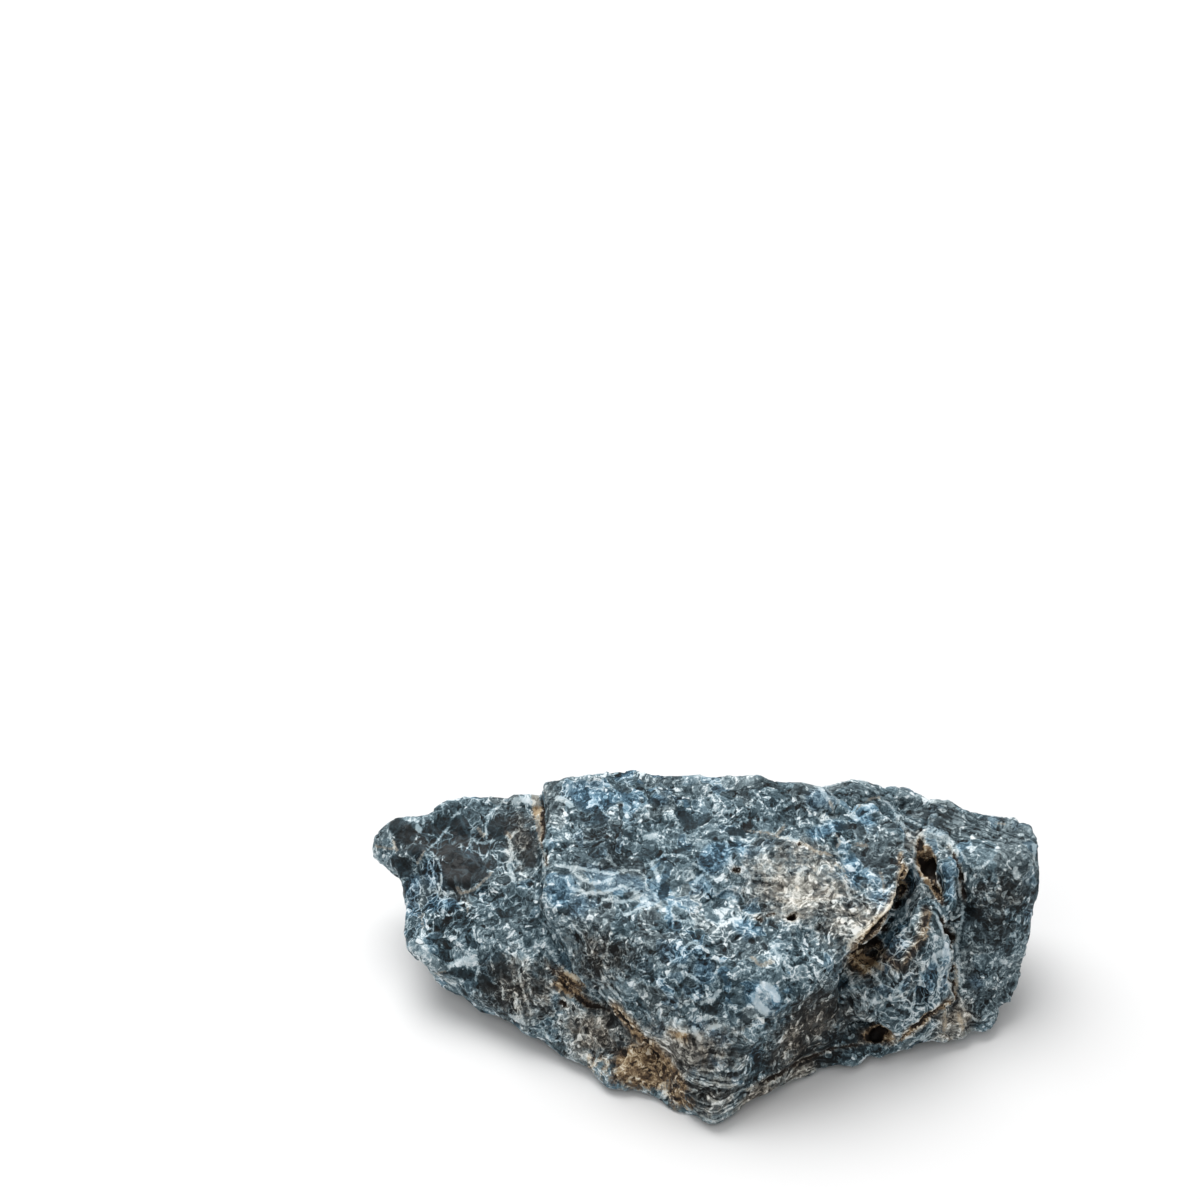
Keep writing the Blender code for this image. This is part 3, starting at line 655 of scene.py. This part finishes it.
def zoneStrength(points, places):
    # Each zone is a soft ball, squeezed to its reach along each axis, that fades as exp(-distance squared).
    # Where zones meet, the strongest counts.
    strength = np.zeros(len(points))
    for place, reach, amount in places:
        away = (((points - np.array(place)) / np.array(reach)) ** 2).sum(axis=1)
        strength = np.maximum(strength, amount * np.exp(-away))
    return strength


def crackedSkin(points, surface):
    # How deep each point is cut by the cracks, and its distance from the nearest crack's edge, which is
    # ragged and draws in towards the crack's ends.
    cut = np.zeros(len(points))
    edge = np.full(len(points), skin["markReach"])
    ragged = smoothNoise(points, 0.7, 70) * 0.14
    for half, deep, *pixels in cracks.values():
        path = laidOn(surface, pixels)
        away, share = alongPath(points, path)
        short = np.linalg.norm(path[-1] - path[0]) < skin["holeLength"]
        taper = (np.minimum(share, 1 - share) / 0.25).clip(0.95 if short else 0.45, 1)
        outside = away + ragged - half * taper
        cut = np.maximum(cut, deep * taper * (-outside / half + 0.2).clip(0, 1) ** 0.7)
        edge = np.minimum(edge, outside)
    return cut, edge


def roughenedStone(node):
    # The fine relief is a height along the outward direction: rounded noise, slanted chips that meet in
    # seams, thin layers on steep places, small pits, and the named cracks.
    stone = remeshed(node)
    mesh = stone.data
    count = len(mesh.vertices)
    points = np.empty(count * 3, np.float32)
    ends = np.empty(len(mesh.edges) * 2, np.int32)
    corners = np.empty(len(mesh.loops), np.int32)
    mesh.vertices.foreach_get("co", points)
    mesh.edges.foreach_get("vertices", ends)
    mesh.loops.foreach_get("vertex_index", corners)
    points = points.reshape(-1, 3).astype(float) / mm
    ends = ends.reshape(-1, 2)
    counts = np.bincount(ends.ravel(), minlength=count)
    points = evenOut(points, ends, counts, skin["evenRounds"])
    normals = skinNormals(mesh, points, ends, counts, 3)
    surface = BVHTree.FromPolygons(points.tolist(), corners.reshape(-1, 4).tolist())
    print("skin:", count, "points")

    fields = {name: zoneStrength(points, places) for name, places in zones.items()}
    rough = (1 - 0.7 * fields["smooth"] - 0.4 * fields["dark"]).clip(0.3, 1)
    wander = np.stack([smoothNoise(points, 1.9, 60 + axis) for axis in range(3)], axis=1)
    wandered = points + wander * 0.35
    height = np.zeros(count)
    for swell in swells:
        height += np.sign(swell[2]) * zoneStrength(points, ((*swell[:2], abs(swell[2])),))
    for number, (width, tall) in enumerate(skin["lumps"]):
        height += (0.4 + 0.6 * rough) * tall * smoothNoise(wandered, width, 10 + number)
    for number, (width, tall, slant) in enumerate(skin["chips"]):
        height += rough * chipped(wandered, width, tall, slant, 20 + 10 * number)
    height += fields["jagged"] * chipped(wandered, *skin["jags"], 57)
    steep = (1 - np.abs(normals @ bedding)).clip(0, 1)
    bed = (wandered @ bedding + 0.5 * smoothNoise(points, 5.0, 50)) / skin["bedPitch"]
    share = bed - np.floor(bed)
    bedOwn = hashCells(np.stack([np.floor(bed)] * 3, axis=1), 7)
    ledge = np.minimum(1 - share, share / 0.2) * (0.4 + 0.9 * bedOwn)
    height += skin["bedDepth"] * (ledge - 0.5) * steep * (fields["layered"] + 0.25).clip(0, 1)
    nearest, second, own, way = grainCells(points, skin["pitSpacing"], 90)
    radius = skin["pitRadius"] * (0.6 + own / skin["pitShare"] * 0.7)
    pit = (1 - (nearest * skin["pitSpacing"] / radius) ** 2).clip(0, 1) * (own < skin["pitShare"])
    height -= skin["pitDepth"] * pit
    print("skin: lumps, chips, layers and pits")

    # The crack field also drives painted shade: the material makes open cracks and holes nearly black, over their
    # brown stain
    cut, fields["crackShadeAndStain"] = crackedSkin(points, surface)
    for name, lines in marks.items():
        fields[name] = np.full(count, skin["markReach"])
        for half, *pixels in lines:
            away, share = alongPath(points, laidOn(surface, pixels))
            fields[name] = np.minimum(fields[name], away - half)
    height -= cut
    rest = (points[:, 2] / skin["restLevel"]).clip(0, 1)
    points = points + normals * (height * rest)[:, None]
    points[:, 2] = points[:, 2].clip(0, None)
    print("skin: cracks and marks")

    # How far each point lies below the mean of its surroundings, near and wide: painted shade darkens it there
    near = points
    for _ in range(3):
        near = near + 0.5 * (meanOfNeighbours(near, ends, counts) - near)
    wide = near
    for _ in range(16):
        wide = wide + 0.5 * (meanOfNeighbours(wide, ends, counts) - wide)
    fields["hollow"] = ((near - points) * normals).sum(axis=1) / 0.05
    fields["sunkenShade"] = ((wide - near) * normals).sum(axis=1) / 0.16
    mesh.vertices.foreach_set("co", (points * mm).astype(np.float32).ravel())
    for name, values in fields.items():
        attribute = mesh.attributes.new(name, "FLOAT", "POINT")
        attribute.data.foreach_set("value", values.clip(-2, 2).astype(np.float32))
    mesh.shade_smooth()
    mesh.update()
    return stone


def linear(code):
    # An sRGB hex colour as the linear values that shaders take.
    shares = [int(code[start:start + 2], 16) / 255 for start in (1, 3, 5)]
    return [part / 12.92 if part <= 0.04045 else ((part + 0.055) / 1.055) ** 2.4 for part in shares] + [1.0]


def addNode(tree, kind, inputs=None, out=0, **settings):
    # Adds one node, sets its settings, gives each named input a value or a link, and returns one output.
    node = tree.nodes.new("ShaderNode" + kind)
    for name, value in settings.items():
        setattr(node, name, value)
    for name, value in (inputs or {}).items():
        if isinstance(value, bpy.types.NodeSocket):
            tree.links.new(value, node.inputs[name])
        else:
            node.inputs[name].default_value = value
    return node.outputs[out] if node.outputs else None


rock = {
    "ramps": {  # shades from dark to pale of each kind of grain
        "slate": ("#04080a", "#162329", "#30424a", "#4e6169", "#6e838c", "#9aacb3", "#d6dfe3"),
        "blue": ("#050f16", "#152a36", "#2d4a5c", "#4a6f86", "#7197ad", "#9fbccd", "#d0e0ea"),
        "warm": ("#0b0a09", "#282622", "#4b4843", "#736e66", "#979388", "#bbb7ad", "#dedbd3"),
        "rust": ("#0e0906", "#2d2015", "#523f2b", "#7b6345", "#a18864", "#c4b08e", "#e2d8c4"),
    },
    "stops": (0.0, 0.16, 0.34, 0.5, 0.66, 0.82, 1.0),
    "bends": ((0.3, 2.6), (1.1, 0.9)),  # how often and how far the patterns are bent
    "calmReach": 1.4,  # the same for streaks and layers, which run nearly straight
    "grains": (  # size, share of the shade, width of the pale border, and slant of each crystal
        (3.2, 0.20, 0.10, 0.0),
        (1.3, 0.30, 0.08, 0.16),
        (0.5, 0.24, 0.0, 0.28),
        (0.25, 0.17, 0.0, 0.0),
    ),
    "veins": ((0.9, 0.036), (2.1, 0.055)),  # how often hair veins run, and half their width in the noise
    "level": {  # how far each pattern moves the shade up or down
        "shade": 1.0, "wide": 0.35, "fine": 0.52, "net": 0.30, "web": 0.32, "veiled": 0.16, "streaks": 0.33,
        # The dark term lowers the shade for dark rock, and for painted shade on the steep front faces
        "layers": 0.50, "fleck": 0.36, "soot": -0.26, "speck": 0.30, "pale": 0.20, "dark": -0.26,
        "netted": 0.60, "panes": -0.15,
        # Painted shade: the hollow and sunken terms darken a point the deeper it lies among its neighbours
        "nearCrack": 0.06, "hollow": -0.10, "sunkenShade": -0.08, "blueMark": -0.04, "brownMark": -0.10,
    },
    "fade": {"streaked": 0.7, "layered": 0.5, "pale": 0.35, "dark": 0.25, "netted": 0.35},  # of the crystals' shades in a zone
    "overlays": {  # shade, and how far it takes the place of the pattern below
        # The cracks' near-black is painted shade in the open cracks and holes; their brown is real stain
        "tanMark": (0.78, 0.55), "whiteMark": (1.0, 0.72), "blackMark": (0.05, 0.65), "crackShadeAndStain": (0.02, 0.9),
    },
    "markEdges": {  # how far out a mark begins and is full, from its line's edge
        "whiteMark": (0.05, -0.07), "tanMark": (0.05, -0.07), "blackMark": (0.07, -0.07),
        "blueMark": (0.30, -0.35), "brownMark": (0.40, -0.45), "crackShadeAndStain": (0.06, -0.05),
    },
    "base": 0.190,  # evens out the means of all that is added to the level
    "patchEdges": {"pale": (0.2, 0.9), "dark": (0.25, 0.7), "warm": (0.2, 0.8), "rust": (0.35, 0.65)},
    "streak": (6.0, 0.22, 0.28),  # length and thickness of a streak
    "layer": (7.0, 7.0, 0.27),
    "relief": {"facets": 0.55, "fine": 0.08},  # height of each in millimetres
    "ior": 1.63,  # apatite
    "shine": 0.12,  # dust and broken grains take nearly all of it away
    "roughness": 0.6,
}


def apatiteRock():
    # Granular apatite rock, broken and dusty: a mosaic of blue and grey crystals in a net of white veins.
    # To the eye it is dull and mottled, with small glints where a crystal's face shows.
    material = bpy.data.materials.new("broken_apatite_rock")
    material.use_nodes = True
    tree = material.node_tree
    tree.nodes.clear()
    names = (*zones, *marks, "crackShadeAndStain", "hollow", "sunkenShade")
    field = {name: addNode(tree, "Attribute", out="Fac", attribute_name=name) for name in names}
    parts = {name: field[name] for name in ("hollow", "sunkenShade")}

    # Object coordinates are metres, and every pattern below is in millimetres
    metres = addNode(tree, "TexCoord", out="Object")
    place = addNode(tree, "VectorMath", {0: metres, "Scale": 1 / mm}, operation="SCALE")
    bent = place
    calm = None
    for scale, reach in rock["bends"]:
        noise = addNode(tree, "TexNoise", {"Vector": place, "Scale": scale, "Detail": 1.0}, "Color")
        bent = addNode(tree, "VectorMath", {0: noise, 1: (reach,) * 3, 2: bent}, operation="MULTIPLY_ADD")
        calm = calm or addNode(tree, "VectorMath", {0: noise, 1: (rock["calmReach"],) * 3, 2: place},
                               operation="MULTIPLY_ADD")

    # Zones with ragged edges, and marks with sharp ones
    ragged = addNode(tree, "TexNoise", {"Vector": place, "Scale": 1.3, "Detail": 3.0, "Roughness": 0.65})
    for name, (low, high) in rock["patchEdges"].items():
        uneven = addNode(tree, "Math", {0: ragged, 1: 1.0, 2: field[name]}, operation="MULTIPLY_ADD")
        parts[name] = addNode(tree, "MapRange", {"Value": uneven, "From Min": low + 0.5, "From Max": high + 0.5})
    noise = addNode(tree, "TexNoise", {"Vector": place, "Scale": 3.8, "Detail": 2.0, "Roughness": 0.9})
    clear = addNode(tree, "Math", {0: field["smooth"], 1: -0.65, 2: 1.0}, operation="MULTIPLY_ADD")
    middle = addNode(tree, "Math", {0: noise, 1: 0.5}, operation="SUBTRACT")
    fine = addNode(tree, "Math", {0: middle, 1: clear}, operation="MULTIPLY")
    parts["fine"] = fine
    for name, (low, high) in rock["markEdges"].items():
        uneven = addNode(tree, "Math", {0: fine, 1: 0.75, 2: field[name]}, operation="MULTIPLY_ADD")
        parts[name] = addNode(tree, "MapRange", {"Value": uneven, "From Min": low, "From Max": high})
    parts["nearCrack"] = addNode(tree, "MapRange", {"Value": field["crackShadeAndStain"], "From Min": 0.35, "From Max": 0.05})

    # The mosaic at several sizes: each crystal has its own shade and slant, and pale rims part the large ones
    shade = -sum(share for size, share, width, slant in rock["grains"]) / 2
    net = 0.0
    relief = 0.0
    lots = []
    for size, share, width, slant in rock["grains"]:
        own = addNode(tree, "TexVoronoi", {"Vector": bent, "Scale": 1 / size}, "Color")
        lot = addNode(tree, "SeparateColor", {"Color": own})
        lots.append(lot.node.outputs)
        shade = addNode(tree, "Math", {0: lot, 1: share, 2: shade}, operation="MULTIPLY_ADD")
        if width:
            rim = addNode(tree, "TexVoronoi", {"Vector": bent, "Scale": 1 / size}, feature="DISTANCE_TO_EDGE")
            reach = addNode(tree, "Math", {0: parts["pale"], 1: 1.4 * width / size, 2: 1.2 * width / size},
                            operation="MULTIPLY_ADD")
            line = addNode(tree, "MapRange", {"Value": rim, "From Min": reach, "From Max": 0.0})
            net = addNode(tree, "Math", {0: net, 1: line}, operation="MAXIMUM")
        if slant:
            way = addNode(tree, "VectorMath", {0: bent, 1: own.node.outputs["Position"]}, operation="SUBTRACT")
            lean = addNode(tree, "VectorMath", {0: own, 1: (0.5,) * 3}, operation="SUBTRACT")
            tipped = addNode(tree, "VectorMath", {0: way, 1: lean}, "Value", operation="DOT_PRODUCT")
            relief = addNode(tree, "Math", {0: tipped, 1: slant * rock["relief"]["facets"], 2: relief},
                             operation="MULTIPLY_ADD")

    left = 1.0
    for name, amount in rock["fade"].items():
        left = addNode(tree, "Math", {0: field[name], 1: -amount, 2: left}, operation="MULTIPLY_ADD", use_clamp=True)
    parts["shade"] = addNode(tree, "Math", {0: shade, 1: left}, operation="MULTIPLY")

    # Hair veins run where smooth noise passes its middle value. They and the rims show in patches.
    web = 0.0
    for scale, half in rock["veins"]:
        noise = addNode(tree, "TexNoise", {"Vector": place, "Scale": scale, "Detail": 1.0, "Distortion": 0.6})
        off = addNode(tree, "Math", {0: noise, 1: 0.5}, operation="SUBTRACT")
        off = addNode(tree, "Math", {0: off}, operation="ABSOLUTE")
        vein = addNode(tree, "MapRange", {"Value": off, "From Min": half, "From Max": 0.0})
        web = addNode(tree, "Math", {0: web, 1: vein}, operation="MAXIMUM")
    breaks = addNode(tree, "TexNoise", {"Vector": place, "Scale": 0.9, "Detail": 2.0})
    shown = addNode(tree, "MapRange", {"Value": breaks, "From Min": 0.40, "From Max": 0.56, "To Min": 0.2})
    shown = addNode(tree, "Math", {0: shown, 1: left}, operation="MULTIPLY")
    parts["netted"] = addNode(tree, "Math", {0: net, 1: field["netted"]}, operation="MULTIPLY")
    parts["panes"] = field["netted"]
    parts["net"] = addNode(tree, "Math", {0: net, 1: shown}, operation="MULTIPLY")
    parts["web"] = addNode(tree, "Math", {0: web, 1: shown}, operation="MULTIPLY")
    either = addNode(tree, "Math", {0: parts["pale"], 1: parts["dark"]}, operation="MAXIMUM")
    lines = addNode(tree, "Math", {0: parts["net"], 1: parts["web"]}, operation="MAXIMUM")
    parts["veiled"] = addNode(tree, "Math", {0: lines, 1: either}, operation="MULTIPLY")

    # Streaks and layers: noise drawn out along one or two directions, with sharp sides
    for name, zone, turn in (("streak", "streaked", radians(-29)), ("layer", "layered", 0.0)):
        along = addNode(tree, "Mapping", {"Vector": calm, "Rotation": (0, 0, turn), "Scale": rock[name]},
                        vector_type="TEXTURE")
        noise = addNode(tree, "TexNoise", {"Vector": along, "Scale": 1.0, "Detail": 1.5, "Roughness": 0.6})
        drawn = addNode(tree, "MapRange", {"Value": noise, "From Min": 0.43, "From Max": 0.57,
                                           "To Min": -0.5, "To Max": 0.5})
        parts[name + "s"] = addNode(tree, "Math", {0: drawn, 1: field[zone]}, operation="MULTIPLY")
    parts["wide"] = addNode(tree, "TexNoise", {"Vector": place, "Scale": 0.16, "Detail": 2.0})

    # White and black crystals: the smaller grains whose random number is high or low enough
    wanted = addNode(tree, "Math", {0: field["flecked"], 1: -0.10, 2: 0.97}, operation="MULTIPLY_ADD")
    parts["fleck"] = addNode(tree, "Math", {0: lots[2][2], 1: wanted}, operation="GREATER_THAN")
    parts["soot"] = addNode(tree, "Math", {0: lots[2][2], 1: 0.07}, operation="LESS_THAN")
    parts["speck"] = addNode(tree, "Math", {0: lots[3][1], 1: 0.93}, operation="GREATER_THAN")

    # One scale from dark to pale, moved by everything above
    level = rock["base"]
    for name, amount in rock["level"].items():
        level = addNode(tree, "Math", {0: parts[name], 1: amount, 2: level}, operation="MULTIPLY_ADD")
    for name, (target, share) in rock["overlays"].items():
        cover = addNode(tree, "Math", {0: parts[name], 1: share}, operation="MULTIPLY")
        level = addNode(tree, "Mix", {"Factor": cover, 2: level, 3: target})
    ramps = {}
    for name, codes in rock["ramps"].items():
        ramps[name] = addNode(tree, "ValToRGB", {"Fac": level})
        stops = ramps[name].node.color_ramp.elements
        while len(stops) < len(codes):
            stops.new(0.5)
        for stop, position, code in zip(stops, rock["stops"], codes):
            stop.position = position
            stop.color = linear(code)

    # Which grains are blue, which rock leans to tan, and where iron stain has soaked in
    blueLot = addNode(tree, "Math", {0: field["blue"], 1: 0.65, 2: lots[1][1]}, operation="MULTIPLY_ADD")
    blueGrain = addNode(tree, "MapRange", {"Value": blueLot, "From Min": 0.86, "From Max": 1.06, "To Max": 0.65})
    blueMark = addNode(tree, "Math", {0: parts["blueMark"], 1: 0.8}, operation="MULTIPLY")
    blueness = addNode(tree, "Math", {0: blueGrain, 1: blueMark}, operation="MAXIMUM")
    warmth = addNode(tree, "Math", {0: lots[0][2], 1: 0.35, 2: -0.12}, operation="MULTIPLY_ADD")
    warmth = addNode(tree, "Math", {0: parts["warm"], 1: 0.85, 2: warmth}, operation="MULTIPLY_ADD", use_clamp=True)
    stain = addNode(tree, "Math", {0: parts["tanMark"], 1: 0.45, 2: parts["rust"]}, operation="MULTIPLY_ADD",
                    use_clamp=True)
    for name, amount in (("brownMark", 0.9), ("crackShadeAndStain", 0.8), ("nearCrack", 0.25)):
        stain = addNode(tree, "Math", {0: parts[name], 1: amount, 2: stain}, operation="MULTIPLY_ADD", use_clamp=True)
    stain = addNode(tree, "Math", {0: stain, 1: 0.85}, operation="MULTIPLY")
    colour = ramps["slate"]
    for share, name in ((blueness, "blue"), (warmth, "warm"), (stain, "rust")):
        colour = addNode(tree, "Mix", {"Factor": share, 6: colour, 7: ramps[name]}, 2, data_type="RGBA")

    # The relief finer than the skin's points
    relief = addNode(tree, "Math", {0: fine, 1: rock["relief"]["fine"], 2: relief}, operation="MULTIPLY_ADD")
    bump = addNode(tree, "Bump", {"Height": relief, "Strength": 0.8, "Distance": mm})
    gloss = addNode(tree, "Math", {0: field["smooth"], 1: -0.25, 2: rock["roughness"]}, operation="MULTIPLY_ADD")
    surface = addNode(tree, "BsdfPrincipled", {"Base Color": colour, "Roughness": gloss, "IOR": rock["ior"],
                                               "Specular IOR Level": rock["shine"], "Normal": bump})
    addNode(tree, "OutputMaterial", {"Surface": surface})
    return material


stone = roughenedStone(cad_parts["stone"])
stone.data.materials.clear()
stone.data.materials.append(apatiteRock())
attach(stone, "root")
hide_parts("stone")
print("stone: done")

studio = {
    "floorSize": 3000.0,
    "floorColour": "#e1e1e1",
    "worldStrength": 0.58,
    "lamps": {  # place, size and power in watts of each soft lamp
        "overhead": ((-110.0, 190.0, 480.0), 450.0, 2.75),
        "fill": ((-120.0, -260.0, 420.0), 300.0, 0.25),
    },
}


def whiteFloor():
    bpy.ops.mesh.primitive_plane_add(size=studio["floorSize"] * mm)
    floor = bpy.context.object
    floor.name = "floor"
    material = bpy.data.materials.new("matt_white_paper")  # dull and even, with no shine
    material.use_nodes = True
    surface = material.node_tree.nodes["Principled BSDF"]
    surface.inputs["Base Color"].default_value = linear(studio["floorColour"])
    surface.inputs["Roughness"].default_value = 0.9
    surface.inputs["Specular IOR Level"].default_value = 0.0
    floor.data.materials.append(material)


def softLight():
    world = bpy.data.worlds.new("studio")
    bpy.context.scene.world = world
    world.use_nodes = True
    world.node_tree.nodes["Background"].inputs["Color"].default_value = (1, 1, 1, 1)
    world.node_tree.nodes["Background"].inputs["Strength"].default_value = studio["worldStrength"]
    for name, (place, size, power) in studio["lamps"].items():
        lamp = bpy.data.lights.new(name, "AREA")
        lamp.shape = "DISK"
        lamp.size = size * mm
        lamp.energy = power
        holder = bpy.data.objects.new(name, lamp)
        bpy.context.scene.collection.objects.link(holder)
        holder.location = [part * mm for part in place]
        holder.rotation_euler = (-holder.location).to_track_quat("-Z", "Y").to_euler()


def eye():
    camera = bpy.data.cameras.new("eye")
    camera.lens = photo["lens"]
    camera.sensor_width = photo["sensor"]
    camera.clip_start = 0.01
    holder = bpy.data.objects.new("eye", camera)
    bpy.context.scene.collection.objects.link(holder)
    holder.location = [part * mm for part in photo["eye"]]
    holder.rotation_euler = (radians(photo["tilt"]), 0, 0)
    bpy.context.scene.camera = holder


whiteFloor()
softLight()
eye()
bpy.context.scene.view_settings.view_transform = "Standard"
print("studio: done")
